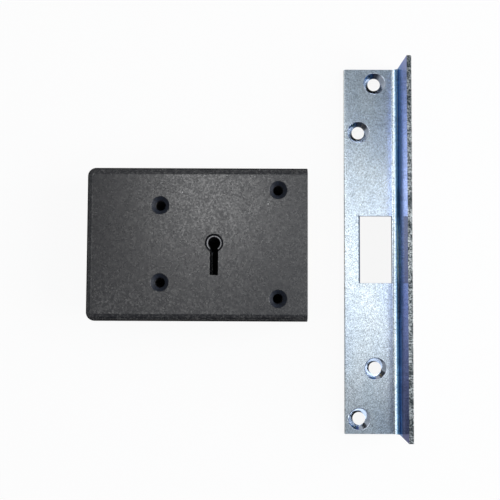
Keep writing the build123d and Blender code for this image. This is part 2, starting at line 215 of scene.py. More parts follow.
def makeMattCoating(settings):
    # thin dry coat inside the countersinks
    shine = {"Specular IOR Level": 0.5, "IOR": 1.45, "Metallic": 0.0}
    material, tree, shader = newMaterial("mattBlackCoating", shine)
    link = tree.links.new
    grain = noise(tree, settings["grain"], 3.0, 0.7)
    low, high = settings["roughness"]
    link(ramp(tree, grain, settings["colours"]), shader.inputs["Base Color"])
    link(fade(tree, grain, (0.3, 0.7), (high, low)), shader.inputs["Roughness"])
    link(bumpFrom(tree, grain, settings["grainDepth"], 0.8), shader.inputs["Normal"])
    return material


zinc = {
    "colours": [(0.30, (0.64, 0.74, 0.86)), (0.50, (0.73, 0.82, 0.89)), (0.72, (0.79, 0.84, 0.88))],
    "dullSpecks": 0.30,
    "wornPatches": 0.91,
    "roughness": (0.24, 0.34),
    "grain": 0.40 * mm,
    "grainDepth": 0.010 * mm,
    "cloud": 22 * mm,
    "patch": 3.2 * mm,
    "rollingLine": 0.6 * mm,
    "lineDepth": 0.006 * mm,
}

# The clear film on the strike, with painted reflection colour and painted shade on the inside of the flange.
# Heights and lengths are shares of the strike's own
strikeFilmAndPaintedLight = {
    # partly the film's blue, partly painted reflection colour, by height up the inside
    "riseFilmAndPaintedReflection": [
        (0.100, (1, 1, 1)),
        (0.122, (0.30, 0.62, 0.96)),
        (0.30, (0.30, 0.60, 0.96)),
        (0.42, (0.34, 0.56, 0.94)),
        (0.60, (0.50, 0.60, 0.98)),
        (0.80, (0.70, 0.72, 1.0)),
    ],
    # painted shade and reflection along the upper flange: darkest and violet at the low-Y end
    "paintedShadeAlongLength": [
        (0.0, (0.09, 0.06, 0.20)),
        (0.14, (0.12, 0.09, 0.28)),
        (0.36, (0.42, 0.42, 0.60)),
        (0.50, (0.86, 0.86, 0.92)),
        (0.62, (1, 1, 1)),
        (0.92, (0.84, 0.84, 0.92)),
    ],
    "flangeFrom": 0.4,  # above this height the painted shade along the length counts
    "wander": 0.5,
    "wanderFrom": 0.14,
    "evenness": 0.8,
    "evenFrom": (0.12, 0.30),
    "shine": 0.45,  # share of the plate's roughness that is left on the flange
    "shineFrom": (0.0885, 0.0930),
    "edgeTint": (0.68, 0.72, 0.90),
    "outerSkin": 1.2 * mm,  # nearer than this to the strike's outer face the zinc keeps its plain colour, without the film tint or the painted reflection and shade
}


def tintFilmAndPaintLight(tree, filmAndPaintedLight, cloud, even, colour, roughness):
    # up the inside of the flange it turns blue, then violet, partly the film's own tint and partly painted
    # reflection; along the upper flange it is painted darker towards the low-Y end as painted shade. The
    # flange is smoother than the plate
    low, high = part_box("strike_plate")
    parts = addNode(tree, "ShaderNodeSeparateXYZ")
    tree.links.new(objectPlace(tree), parts.inputs["Vector"])
    height = mathNode(tree, "DIVIDE", parts.outputs["Z"], high.z)
    wandering = mathNode(tree, "GREATER_THAN", height, filmAndPaintedLight["wanderFrom"])
    wander = product(tree, mathNode(tree, "SUBTRACT", cloud, 0.5), filmAndPaintedLight["wander"], wandering)
    onInside = mathNode(tree, "LESS_THAN", parts.outputs["X"], high.x - filmAndPaintedLight["outerSkin"])
    height = product(tree, mathNode(tree, "ADD", height, wander), onInside)
    evened = fade(tree, height, filmAndPaintedLight["evenFrom"], (0, filmAndPaintedLight["evenness"]))
    colour = mixColour(tree, evened, colour, even)
    # film tint and painted reflection colour up the inside
    colour = tinted(tree, colour, ramp(tree, height, filmAndPaintedLight["riseFilmAndPaintedReflection"]))
    fromEnd = mathNode(tree, "SUBTRACT", parts.outputs["Y"], low.y)
    fromEnd = mathNode(tree, "DIVIDE", fromEnd, high.y - low.y)
    # painted shade along the length, darker towards the low-Y end
    along = tinted(tree, colour, ramp(tree, fromEnd, filmAndPaintedLight["paintedShadeAlongLength"]))
    colour = mixColour(tree, mathNode(tree, "GREATER_THAN", height, filmAndPaintedLight["flangeFrom"]), colour, along)
    dullBelow, brightAbove = filmAndPaintedLight["shineFrom"]
    shiny = mathNode(tree, "SUBTRACT", height, dullBelow)
    shiny = mathNode(tree, "DIVIDE", shiny, brightAbove - dullBelow, clamp=True)
    return colour, mixColour(tree, shiny, roughness, tinted(tree, roughness, grey(filmAndPaintedLight["shine"])))


def makeZinc(name, settings, filmAndPaintedLight=None):
    # bright blue zinc plate over rolled sheet: fine grain, faint clouds and rolling lines
    edgeTint = filmAndPaintedLight["edgeTint"] if filmAndPaintedLight else (1, 1, 1)
    material, tree, shader = newMaterial(name, {"Metallic": 1.0, "Specular Tint": (*edgeTint, 1)})
    link = tree.links.new
    grain = noise(tree, settings["grain"], 3.0, 0.7)
    fine = noise(tree, settings["grain"] / 2)
    cloud = noise(tree, settings["cloud"], 3.0, stretch=(1, 2.4, 1))
    lines = noise(tree, settings["rollingLine"], stretch=(1, 60, 1))
    specks = cells(tree, settings["grain"], "Color")
    dull = fade(tree, specks, (0.0, 0.75), (settings["dullSpecks"], 1))
    worn = fade(tree, noise(tree, settings["patch"]), (0.36, 0.62), (settings["wornPatches"], 1))
    even = tinted(tree, ramp(tree, cloud, settings["colours"]), worn)
    colour = tinted(tree, even, dull, 0.9)
    low, high = settings["roughness"]
    roughness = fade(tree, grain, (0.34, 0.66), (high, low))
    # on the strike: film tint, painted reflection and painted shade
    if filmAndPaintedLight:
        colour, roughness = tintFilmAndPaintLight(tree, filmAndPaintedLight, cloud, even, colour, roughness)
    link(colour, shader.inputs["Base Color"])
    link(roughness, shader.inputs["Roughness"])
    coarseBump = bumpFrom(tree, grain, settings["grainDepth"], 0.5)
    fineBump = bumpFrom(tree, fine, settings["lineDepth"], 0.5, coarseBump)
    link(bumpFrom(tree, lines, settings["lineDepth"], 0.3, fineBump), shader.inputs["Normal"])
    return material


shearedZinc = {
    "colours": [(0.47, (0.035, 0.045, 0.050)), (0.63, (0.80, 0.84, 0.84))],
    "roughness": (0.25, 0.55),
    "grain": 0.55 * mm,
    "grainDepth": 0.10 * mm,
    "patch": 5 * mm,
}


def makeShearedZinc(settings):
    # plating over a sheared edge: bright and torn dark specks, drawn out across the sheet
    material, tree, shader = newMaterial("shearedZincEdge", {"Metallic": 1.0})
    link = tree.links.new
    specks = noise(tree, settings["grain"], 3.0, 0.75, (1.6, 1, 1.6))
    both = blended(tree, specks, noise(tree, settings["patch"], 3.0, 0.6), 0.75)
    low, high = settings["roughness"]
    link(ramp(tree, both, settings["colours"]), shader.inputs["Base Color"])
    link(fade(tree, specks, (0.35, 0.65), (high, low)), shader.inputs["Roughness"])
    link(bumpFrom(tree, specks, settings["grainDepth"], 0.8), shader.inputs["Normal"])
    return material


# The stretch says how far the lines are drawn out along X, Y and Z
turnedMetals = {
    "sinkZinc": {
        "name": "turnedZincSinks", "colour": (0.74, 0.80, 0.90), "darkColour": (0.46, 0.54, 0.66),
        "roughness": (0.07, 0.15), "line": 0.12 * mm, "stretch": (40, 40, 1), "depth": 0.003 * mm,
    },
    # steel darkened, partly as painted shade for the keyhole's bore
    "barrelSteelWithPaintedShade": {
        "name": "dullBarrelSteel", "colour": (0.32, 0.32, 0.33), "darkColour": (0.18, 0.18, 0.19),
        "roughness": (0.34, 0.50), "line": 0.25 * mm, "stretch": (1, 1, 30), "depth": 0.01 * mm,
    },
    "plainSteel": {
        "name": "oiledMildSteel", "colour": (0.42, 0.43, 0.44), "darkColour": (0.22, 0.22, 0.22),
        "roughness": (0.30, 0.46), "line": 0.35 * mm, "stretch": (18, 1, 1), "depth": 0.02 * mm,
    },
    "boltBrass": {
        "name": "milledBoltBrass", "colour": (0.80, 0.58, 0.27), "darkColour": (0.52, 0.34, 0.13),
        "roughness": (0.22, 0.38), "line": 0.3 * mm, "stretch": (24, 1, 1), "depth": 0.015 * mm,
    },
    "leverBrass": {
        "name": "stampedLeverBrass", "colour": (0.82, 0.62, 0.31), "darkColour": (0.55, 0.38, 0.16),
        "roughness": (0.28, 0.44), "line": 0.4 * mm, "stretch": (14, 1, 1), "depth": 0.02 * mm,
    },
    # painted shade: near-black steel for the curtain, which shows deep in the keyhole
    "paintedShadeSteel": {
        "name": "blackedCurtainSteel", "colour": (0.030, 0.031, 0.035), "darkColour": (0.010, 0.010, 0.012),
        "roughness": (0.38, 0.52), "line": 0.3 * mm, "stretch": (1, 8, 1), "depth": 0.02 * mm,
    },
    "springSteel": {
        "name": "bluedSpringSteel", "colour": (0.20, 0.24, 0.34), "darkColour": (0.10, 0.11, 0.16),
        "roughness": (0.20, 0.34), "line": 0.25 * mm, "stretch": (20, 1, 1), "depth": 0.01 * mm,
    },
}


def makeTurnedMetal(settings):
    # drawn, ground or turned metal: lines of one width in one direction, and faint stains
    material, tree, shader = newMaterial(settings["name"], {"Metallic": 1.0})
    link = tree.links.new
    lines = noise(tree, settings["line"], 3.0, 0.6, settings["stretch"])
    stained = blended(tree, lines, noise(tree, stainSize, 4.0, 0.6), 0.45)
    stops = [(0.34, settings["darkColour"]), (0.60, settings["colour"])]
    low, high = settings["roughness"]
    link(ramp(tree, stained, stops), shader.inputs["Base Color"])
    link(fade(tree, lines, (0.35, 0.65), (high, low)), shader.inputs["Roughness"])
    link(bumpFrom(tree, lines, settings["depth"], 0.5), shader.inputs["Normal"])
    return material


finishes = {
    "coating": makeCoating(coating),
    "sinkCoating": makeMattCoating(mattCoating),
    "zinc": makeZinc("blueZincScrews", zinc),
    "strikeZinc": makeZinc("blueZincStrike", zinc, strikeFilmAndPaintedLight),
    "shearedZinc": makeShearedZinc(shearedZinc),
}
for finish, settings in turnedMetals.items():
    finishes[finish] = makeTurnedMetal(settings)
print("finishes made")


def plainMesh(source, name):
    # the evaluated object as a plain mesh, modifiers done with
    graph = bpy.context.evaluated_depsgraph_get()
    graph.update()
    evaluated = source.evaluated_get(graph)
    mesh = bpy.data.meshes.new_from_object(evaluated, preserve_all_data_layers=True, depsgraph=graph)
    mesh.name = name
    return mesh


def linkPiece(name, mesh):
    piece = bpy.data.objects.new(name, mesh)
    bpy.context.scene.collection.objects.link(piece)
    return piece


def mergedCopy(nodeName, name):
    mesh = bpy.data.meshes.new(name)
    shape = bmesh.new()
    shape.from_mesh(frame["nodes"][nodeName].data)
    bmesh.ops.remove_doubles(shape, verts=shape.verts, dist=mergeDistance)
    bmesh.ops.dissolve_limit(shape, angle_limit=flatAngle, verts=shape.verts, edges=shape.edges)
    shape.to_mesh(mesh)
    shape.free()
    return mesh


def shadeByArea(name, mesh):
    # large flat faces keep their own normal, so only the rounded edges shade round
    mesh.shade_smooth()
    mesh.set_sharp_from_angle(angle=sharpAngle)
    piece = linkPiece(name + "_shaded", mesh)
    weighted = piece.modifiers.new("normals", "WEIGHTED_NORMAL")
    weighted.weight = 100
    weighted.keep_sharp = True
    done = plainMesh(piece, name)
    bpy.data.objects.remove(piece)
    return done


def dropSlivers(mesh):
    # faces without area, which a bevel leaves where its ends meet
    shape = bmesh.new()
    shape.from_mesh(mesh)
    bmesh.ops.dissolve_degenerate(shape, dist=mergeDistance, edges=shape.edges)
    shape.to_mesh(mesh)
    shape.free()


def softenEdges(name, mesh, width, segments):
    piece = linkPiece(name + "_rough", mesh)
    bevel = piece.modifiers.new("edges", "BEVEL")
    bevel.width = width
    bevel.segments = segments
    bevel.limit_method = "ANGLE"
    bevel.angle_limit = roundAngle
    bevel.use_clamp_overlap = True
    rounded = plainMesh(piece, name + "_rounded")
    bpy.data.objects.remove(piece)
    dropSlivers(rounded)
    return shadeByArea(name, rounded)


def lathe(name, profile, segments):
    # profile: (radius, height) pairs round a closed section, turned about Z
    shape = bmesh.new()
    rings = []
    for step in range(segments):
        angle = 2 * math.pi * step / segments
        across, along = math.cos(angle), math.sin(angle)
        rings.append([shape.verts.new((r * across, r * along, z)) for r, z in profile])
    for step in range(segments):
        near, far = rings[step], rings[(step + 1) % segments]
        for i in range(len(profile)):
            j = (i + 1) % len(profile)
            shape.faces.new((near[i], far[i], far[j], near[j]))
    bmesh.ops.remove_doubles(shape, verts=shape.verts, dist=mergeDistance)
    bmesh.ops.recalc_face_normals(shape, faces=shape.faces)
    mesh = bpy.data.meshes.new(name)
    shape.to_mesh(mesh)
    shape.free()
    return mesh


def faceOutward(mesh):
    shape = bmesh.new()
    shape.from_mesh(mesh)
    if shape.calc_volume(signed=True) < 0:
        bmesh.ops.reverse_faces(shape, faces=shape.faces)
    shape.to_mesh(mesh)
    shape.free()


def cutAway(name, mesh, cutters):
    piece = linkPiece(name + "_whole", mesh)
    tools = []
    for number, cutter in enumerate(cutters):
        tools.append(linkPiece(f"{name}_cutter{number}", cutter))
        cut = piece.modifiers.new(f"cut{number}", "BOOLEAN")
        cut.operation = "DIFFERENCE"
        cut.solver = "EXACT"
        cut.object = tools[-1]
    done = plainMesh(piece, name)
    for tool in [piece] + tools:
        bpy.data.objects.remove(tool)
    return done


def loftLayers(name, layers):
    # layers: lists of points with as many points each, from the bottom up
    shape = bmesh.new()
    rings = [[shape.verts.new(point) for point in layer] for layer in layers]
    for lower, upper in zip(rings, rings[1:]):
        for i in range(len(lower)):
            j = (i + 1) % len(lower)
            shape.faces.new((lower[i], lower[j], upper[j], upper[i]))
    shape.faces.new(rings[0][::-1])
    shape.faces.new(rings[-1])
    bmesh.ops.recalc_face_normals(shape, faces=shape.faces)
    mesh = bpy.data.meshes.new(name)
    shape.to_mesh(mesh)
    shape.free()
    return mesh


def startTree(name, inputs):
    tree = bpy.data.node_groups.new(name, "GeometryNodeTree")
    tree.interface.new_socket("Geometry", in_out="INPUT", socket_type="NodeSocketGeometry")
    tree.interface.new_socket("Geometry", in_out="OUTPUT", socket_type="NodeSocketGeometry")
    for inputName, kind in inputs.items():
        tree.interface.new_socket(inputName, in_out="INPUT", socket_type="NodeSocket" + kind)
    return tree, tree.nodes.new("NodeGroupInput"), tree.nodes.new("NodeGroupOutput")


def runTree(name, startMesh, tree, values):
    # the tree's result as a plain mesh; values go to the sockets by their identifiers
    piece = linkPiece(name + "_start", startMesh)
    modifier = piece.modifiers.new("nodes", "NODES")
    modifier.node_group = tree
    for item in tree.interface.items_tree:
        if item.item_type == "SOCKET" and item.in_out == "INPUT" and item.name in values:
            modifier[item.identifier] = values[item.name]
    done = plainMesh(piece, name)
    piece.modifiers.clear()
    bpy.data.objects.remove(piece)
    return done


def makeRepeatTree():
    # one turned unit on every point, each turned by its own angle
    inputs = {"Unit": "Object", "Turn": "Float", "Seed": "Int", "Finish": "Material"}
    tree, given, result = startTree("repeatOnPoints", inputs)
    link = tree.links.new
    points = addNode(tree, "GeometryNodeMeshToPoints")
    unit = addNode(tree, "GeometryNodeObjectInfo")
    angle = addNode(tree, "FunctionNodeRandomValue", data_type="FLOAT")
    turned = addNode(tree, "ShaderNodeCombineXYZ")
    instances = addNode(tree, "GeometryNodeInstanceOnPoints")
    real = addNode(tree, "GeometryNodeRealizeInstances")
    painted = addNode(tree, "GeometryNodeSetMaterial")
    link(given.outputs["Geometry"], points.inputs["Mesh"])
    link(given.outputs["Unit"], unit.inputs["Object"])
    link(given.outputs["Turn"], angle.inputs[3])
    link(given.outputs["Seed"], angle.inputs["Seed"])
    link(angle.outputs[1], turned.inputs["Z"])
    link(points.outputs["Points"], instances.inputs["Points"])
    link(unit.outputs["Geometry"], instances.inputs["Instance"])
    link(turned.outputs[0], instances.inputs["Rotation"])
    link(instances.outputs[0], real.inputs[0])
    link(real.outputs[0], painted.inputs["Geometry"])
    link(given.outputs["Finish"], painted.inputs["Material"])
    link(painted.outputs[0], result.inputs[0])
    return tree


repeatOnPoints = makeRepeatTree()


def repeatUnit(name, unitMesh, places, finish, turn=0.0, seed=3):
    unit = linkPiece(name + "_unit", unitMesh)
    start = bpy.data.meshes.new(name + "_points")
    start.from_pydata(places, [], [])
    done = runTree(name, start, repeatOnPoints, {"Unit": unit, "Turn": turn, "Seed": seed, "Finish": finish})
    bpy.data.objects.remove(unit)
    return done


def centresOf(nodeName):
    # the middle of each solid of a node, in X and Y, and its lowest Z
    shape = bmesh.new()
    shape.from_mesh(frame["nodes"][nodeName].data)
    bmesh.ops.remove_doubles(shape, verts=shape.verts, dist=mergeDistance)
    centres, left = [], set(shape.verts)
    while left:
        group, edge = set(), [left.pop()]
        while edge:
            vert = edge.pop()
            group.add(vert)
            for other in (e.other_vert(vert) for e in vert.link_edges):
                if other in left:
                    left.remove(other)
                    edge.append(other)
        xs, ys, zs = zip(*(v.co for v in group))
        centres.append(((min(xs) + max(xs)) / 2, (min(ys) + max(ys)) / 2, min(zs)))
    shape.free()
    return sorted(centres)


def fromNearest(face, centres):
    return min(math.hypot(face.center.x - centre[0], face.center.y - centre[1]) for centre in centres)


def finishPiece(name, mesh, body, nodeNames, materials):
    mesh.materials.clear()
    for material in materials:
        mesh.materials.append(material)
    piece = linkPiece(name, mesh)
    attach(piece, body)
    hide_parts(*nodeNames)
    return piece


bodies = frame["record"]["behaviour"]["bodies"]
bodyOf = {node: body for body, nodes in bodies.items() for node in nodes}

# Pieces whose CAD shape is right get their real edges: name, width and steps of the rounding, finish, slot
dressed = {
    "case_shell": ("foldedCase", 0.22 * mm, 3, "coating", "black_coating"),
    "back_plate": ("backPlate", 0.18 * mm, 3, "coating", "black_coating"),
    # the curtain's near-black steel is painted shade deep in the keyhole
    "curtain_disc": ("curtainDisc", 0.12 * mm, 2, "paintedShadeSteel", "plain_steel"),
    "bolt_head": ("boltHead", 0.15 * mm, 2, "boltBrass", "bolt_brass"),
    "bolt_tail": ("boltTail", 0.15 * mm, 2, "plainSteel", "plain_steel"),
    "bolt_stump": ("boltStump", 0.10 * mm, 2, "plainSteel", "plain_steel"),
}
for number in range(1, 6):
    dressed[f"lever_{number}"] = (f"lever{number}", 0.12 * mm, 2, "leverBrass", "lever_brass")

for nodeName, (name, edge, segments, finish, slotName) in dressed.items():
    eased = softenEdges(name, mergedCopy(nodeName, name + "_merged"), edge, segments)
    finishPiece(name, eased, bodyOf[nodeName], [nodeName], [finishes[finish]])
print("folded case, plate, curtain, bolt and levers dressed")

caseSinks = {
    "radius": 4.45 * mm,
    "depth": 4.5 * mm,
    "flat": 0.97,  # faces that lie flatter than this belong to the case's front
}


def paintSinks(settings):
    # the countersinks have a thinner and drier coat than the rest of the case
    data = bpy.data.objects["foldedCase"].data
    data.materials.append(finishes["sinkCoating"])
    fixings = centresOf("fixing_tubes") + centresOf("lever_post")
    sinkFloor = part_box("case_shell")[1].z - settings["depth"]
    for face in data.polygons:
        steep = abs(face.normal.z) < settings["flat"]
        if fromNearest(face, fixings) < settings["radius"] and steep and face.center.z > sinkFloor:
            face.material_index = 1


paintSinks(caseSinks)

# Split tube that shows in the keyhole: narrow flat ends between two chamfers
splitBarrel = {
    "outer": 3.95 * mm,
    "wall": 0.70 * mm,
    "land": 0.30 * mm,
    "slot": 4.2 * mm,
    "footRadius": 5.5 * mm,
    "footBottom": 2.05 * mm,
    "footHeight": 1.0 * mm,
    "edge": 0.05 * mm,
    "facets": 96,
}


def makeBarrel(settings):
    low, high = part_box("key_barrel")
    joints = frame["record"]["behaviour"]["joints"]
    axisX, axisY = next(joint for joint in joints if joint["child"] == "barrel")["pos_m"][:2]
    outer, foot, edge = settings["outer"], settings["footRadius"], settings["edge"]
    inner = outer - settings["wall"]
    chamfer = (settings["wall"] - settings["land"]) / 2
    footTop = settings["footBottom"] + settings["footHeight"]
    profile = [(inner, low.z + chamfer), (inner + chamfer, low.z)]
    profile += [(outer - chamfer, low.z), (outer, low.z + chamfer)]
    profile += [(outer, settings["footBottom"]), (foot - edge, settings["footBottom"])]
    profile += [(foot, settings["footBottom"] + edge), (foot, footTop - edge)]
    profile += [(foot - edge, footTop), (outer, footTop), (outer, high.z - chamfer)]
    profile += [(outer - chamfer, high.z), (inner + chamfer, high.z), (inner, high.z - chamfer)]
    tube = lathe("splitBarrel_tube", profile, settings["facets"])
    half, reach = settings["slot"] / 2, foot * 1.2
    slotLayers = []
    for z in (low.z - mm, high.z + mm):
        slotLayers.append([(-half, -reach, z), (half, -reach, z), (half, 0, z), (-half, 0, z)])
    split = cutAway("splitBarrel_cut", tube, [loftLayers("splitBarrel_slot", slotLayers)])
    split.transform(Matrix.Translation((axisX, axisY, 0)))
    eased = softenEdges("splitBarrel", split, edge, 2)
    # the barrel's steel is darkened, partly as painted shade in the keyhole
    steel = [finishes["barrelSteelWithPaintedShade"]]
    finishPiece("splitBarrel", eased, "barrel", ["key_barrel"], steel)


makeBarrel(splitBarrel)

# Slotted screws that hold the back plate
capScrew = {
    "headRadius": 3.6 * mm,
    "shankRadius": 1.9 * mm,
    "coreRadius": 1.55 * mm,
    "length": 12 * mm,
    "pitch": 0.7 * mm,
    "slotWidth": 0.9 * mm,
    "slotDepth": 0.7 * mm,
    "rim": 0.12 * mm,
    "facets": 40,
}


def makeCapScrews(settings):
    head, shank, core, rim = (settings[key] for key in ("headRadius", "shankRadius", "coreRadius", "rim"))
    pitch, length = settings["pitch"], settings["length"]
    neck = head - shank
    profile = [(0, 0), (head - 2 * rim, 0), (head - 0.6 * rim, 0.3 * rim), (head, rim), (shank, neck + rim)]
    height = neck + 1.5 * pitch
    while height + pitch < length:
        profile += [(core, height), (shank, height + pitch / 2)]
        height += pitch
    profile += [(core, height), (core * 0.85, length), (0, length)]
    body = lathe("capScrew_body", profile, settings["facets"])
    reach, half, depth = head * 1.1, settings["slotWidth"] / 2, settings["slotDepth"]
    slotLayers = []
    for z, wide in ((-rim, half + 1.6 * rim), (0.6 * rim, half), (depth, half)):
        slotLayers.append([(-reach, -wide, z), (reach, -wide, z), (reach, wide, z), (-reach, wide, z)])
    unit = cutAway("capScrew_unit", body, [loftLayers("capScrew_slot", slotLayers)])
    screws = repeatUnit("capScrews", unit, centresOf("cap_screws"), finishes["zinc"], turn=math.pi, seed=5)
    shaded = shadeByArea("capScrews", screws)
    finishPiece("capScrews", shaded, "lock_case", ["cap_screws"], [finishes["zinc"]])


makeCapScrews(capScrew)

# Turned pieces inside: each a ring with eased edges, as tall as its node unless it says otherwise
rings = {
    "fixing_tubes": {"name": "screwTubes", "inner": 2.6 * mm, "outer": 4.5 * mm, "edge": 0.25 * mm},
    "lever_post": {"name": "leverPost", "inner": 2.6 * mm, "outer": 4.5 * mm, "edge": 0.25 * mm},
    "lever_washers": {
        "name": "leverWashers", "inner": 4.55 * mm, "outer": 6.5 * mm, "edge": 0.08 * mm, "tall": 0.5 * mm,
    },
    "lever_collar": {"name": "leverCollar", "inner": 4.55 * mm, "outer": 6.5 * mm, "edge": 0.2 * mm},
}


def makeRings(nodeName, settings):
    places = centresOf(nodeName)
    tall = settings.get("tall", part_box(nodeName)[1].z - places[-1][2])
    name, inner, outer, edge = (settings[key] for key in ("name", "inner", "outer", "edge"))
    profile = [(inner + edge, 0), (outer - edge, 0), (outer - 0.3 * edge, 0.3 * edge), (outer, edge)]
    profile += [(outer, tall - edge), (outer - 0.3 * edge, tall - 0.3 * edge), (outer - edge, tall)]
    profile += [(inner + edge, tall), (inner, tall - edge), (inner, edge)]
    repeated = repeatUnit(name, lathe(name + "_unit", profile, ringFacets), places, finishes["plainSteel"])
    shaded = shadeByArea(name, repeated)
    finishPiece(name, shaded, "lock_case", [nodeName], [finishes["plainSteel"]])


for nodeName, settings in rings.items():
    makeRings(nodeName, settings)
print("barrel cut, cap screws, tubes and washers repeated")

# Strike: one sheet folded to an angle, its section swept along its length
strike = {
    "length": 202 * mm,
    "width": 32.2 * mm,
    "height": 28.5 * mm,
    "sheet": 2.5 * mm,
    "bend": 1.8 * mm,
    "bendSteps": 18,
    "bendEase": (1.5, 0.10),  # the sheet starts to rise gently before the bend: how much, over what angle
    "bendFlat": (6.0, 0.43, 0.08),  # and is a little flatter at one angle, where the folding tool pressed
    "brow": (0.45 * mm, 0.17 * mm),  # the plate's free edge is rolled down this wide and deep
    "rollover": 0.35 * mm,  # drawn-in side of the sheared edges
    "burr": 0.08 * mm,
    "edgeSteps": 8,
    "edgeEase": 0.3 * mm,
    "station": 0.5 * mm,
    "tear": 0.10 * mm,
    "tearGrain": 900.0,  # per metre
    "shearedSkin": (0.3 * mm, 0.12 * mm, 0.05 * mm),  # how deep at the top, the free edge and the ends
    "innerColumn": 15.2 * mm,  # of holes, from the flange's outside
    "outerColumn": 8.0 * mm,  # from the plate's free edge
    "holeInsets": (8.0 * mm, 35.5 * mm),  # from either end
    "holeRadius": 3.5 * mm,
    "sinkRadius": 5.9 * mm,
    "sinkLip": 0.24 * mm,
    "sinkSlopes": (0.3, 0.98),  # between these normals' Z the faces are the drill's bright cone
    "coneFrom": 0.1 * mm,  # above the back
    "drillFacets": 64,
    "opening": (17.6 * mm, 37.2 * mm),
    "openingBendGap": 1.5 * mm,
    "lip": 0.12 * mm,
    "roll": 1.0 * mm,
}


def middleOf(low, high):
    return (low.y + high.y) / 2


def openingCorners(settings):
    low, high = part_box("strike_plate")
    wide, tall = settings["opening"]
    right = high.x - settings["sheet"] - settings["bend"] - settings["openingBendGap"]
    middle = middleOf(low, high)
    return Vector((right - wide, middle - tall / 2, 0)), Vector((right, middle + tall / 2, 0))


def holeCentres(settings):
    low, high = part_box("strike_plate")
    inner, outer = high.x - settings["innerColumn"], low.x + settings["outerColumn"]
    near, far = (settings["length"] / 2 - inset for inset in settings["holeInsets"])
    middle = middleOf(low, high)
    return [(inner, middle + near), (outer, middle + far), (inner, middle - far), (outer, middle - near)]


def strikeBend(settings, inner, sheet):
    # inside of the bend, from the flange down to the plate; its radius is widened by the two settings
    growth, within = settings["bendEase"]
    flatter, pressed, spread = settings["bendFlat"]
    fine = 20
    count = settings["bendSteps"] * fine
    x, z, path = 0.0, 0.0, [(0.0, 0.0)]
    for step in range(count):
        a = (step + 0.5) / count
        a = math.pi / 2 * a * a  # more points where the rise is gentle
        before, after = (math.pi / 2 * (s / count) ** 2 for s in (step, step + 1))
        radius = 1 + growth * math.exp(-a / within) + flatter * math.exp(-((a - pressed) / spread) ** 2)
        radius *= settings["bend"]
        x += radius * math.cos(a) * (after - before)
        z += radius * math.sin(a) * (after - before)
        if (step + 1) % fine == 0:
            path.append((x, z))
    return [(inner - x + px, sheet + pz) for px, pz in reversed(path)]


def strikeSection(settings):
    # closed section in X and Z, from the free edge of the plate leg round to it again
    width, height, sheet, bend = (settings[key] for key in ("width", "height", "sheet", "bend"))
    roll, burr, steps = settings["rollover"], settings["burr"], settings["bendSteps"]
    outerBend = sheet + bend
    ease = settings["edgeEase"]
    points = [(roll, 0), (width - outerBend - ease, 0)]
    for step in range(steps + 1):
        a = math.pi / 2 * step / steps
        points.append((width - outerBend + outerBend * math.sin(a), outerBend - outerBend * math.cos(a)))
    points += [(width, outerBend + ease), (width, height - roll), (width - 0.3 * roll, height - 0.3 * roll)]
    inner = width - sheet
    for step in range(settings["edgeSteps"] + 1):
        share = step / settings["edgeSteps"]
        points.append((width - roll + share * (inner + burr - width + roll), height))
    points.append((inner, height - burr))
    points += strikeBend(settings, inner, sheet)
    browWide, browDeep = settings["brow"]
    points += [(1.6 * browWide, sheet), (0.8 * browWide, sheet - 0.2 * browDeep)]
    for step in range(settings["edgeSteps"] + 1):
        share = step / settings["edgeSteps"]
        points.append((0, sheet - browDeep + share * (roll - sheet + browDeep)))
    points.append((0.3 * roll, 0.3 * roll))
    return points


